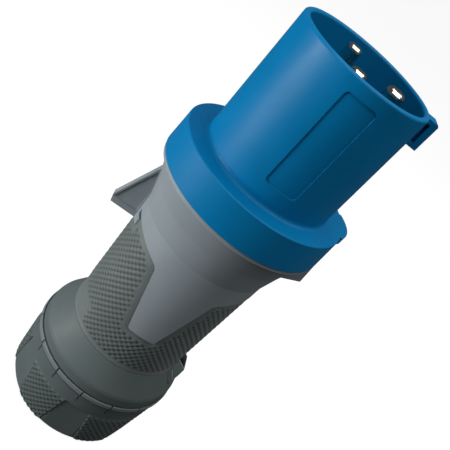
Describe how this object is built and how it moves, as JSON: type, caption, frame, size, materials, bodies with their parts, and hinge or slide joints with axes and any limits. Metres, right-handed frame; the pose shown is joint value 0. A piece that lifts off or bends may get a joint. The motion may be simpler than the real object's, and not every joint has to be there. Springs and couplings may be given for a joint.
{
  "type": "industrial pin and sleeve plug",
  "caption": "Round sleeved plug with a keyed blue sleeve, domed contact pins, a tapered rubber grip and a screwed cable gland nut.",
  "frame": {"origin": "centre of the cable entry, in the end face of the gland nut that the plug stands on", "axes": "+Z along the plug from the cable end to the mouth of the sleeve, +X towards the key and the earth pin"},
  "size_m": [0.1006, 0.0936, 0.252],
  "materials": {
    "blue_plastic": "satin moulded thermoplastic",
    "carrier_plastic": "satin moulded thermoplastic",
    "grey_plastic": "satin moulded thermoplastic",
    "ring_plastic": "satin moulded thermoplastic",
    "dark_plastic": "fine spark-eroded texture",
    "claw_plastic": "satin moulded thermoplastic",
    "slide_plastic": "satin moulded thermoplastic",
    "grip_rubber": "matte, dimpled",
    "seal_rubber": "matte",
    "nickel_contact": "nickel plated, polished",
    "screw_steel": "zinc plated",
    "plate_steel": "stamped stainless",
    "spring_steel": "folded spring strip"
  },
  "bodies": {
    "plug_body": {"front_sleeve": "blue_plastic", "pin_carrier": "carrier_plastic", "earth_pin": "nickel_contact", "line_pin": "nickel_contact", "neutral_pin": "nickel_contact", "pilot_pin": "nickel_contact", "earth_clamp_screws": "screw_steel", "line_clamp_screws": "screw_steel", "neutral_clamp_screws": "screw_steel", "pilot_clamp_screw": "screw_steel", "carrier_screws": "screw_steel", "earth_clamp_plate": "plate_steel", "line_clamp_plate": "plate_steel", "neutral_clamp_plate": "plate_steel", "housing_seal": "seal_rubber", "cable_seal": "seal_rubber", "rear_housing": "grey_plastic", "index_ring": "ring_plastic", "grip_cover": "grip_rubber", "gland_collar": "dark_plastic", "clamp_claws": "claw_plastic", "lock_spring": "spring_steel"},
    "press_ring": {"press_ring": "claw_plastic"},
    "gland_nut": {"gland_nut": "dark_plastic"},
    "lock_slide": {"lock_slide": "slide_plastic"}
  },
  "joints": [
    {"name": "press_ring_slide", "type": "slide", "parent": "plug_body", "child": "press_ring", "axis": [0, 0, -1], "range_m": [0, 0.01]},
    {"name": "gland_nut_turn", "type": "hinge", "parent": "press_ring", "child": "gland_nut", "pos_m": [0, 0, 0], "axis": [0, 0, -1], "range_deg": [0, 900]},
    {"name": "lock_slide_travel", "type": "slide", "parent": "plug_body", "child": "lock_slide", "axis": [0, 0, 1], "range_m": [0, 0.003], "stiffness_N_per_m": 500, "springref_m": -0.004, "deforming": ["lock_spring"]}
  ],
  "couplings": [
    {"joint": "press_ring_slide", "follows": "gland_nut_turn", "m_per_rad": 0.00063661}
  ]
}
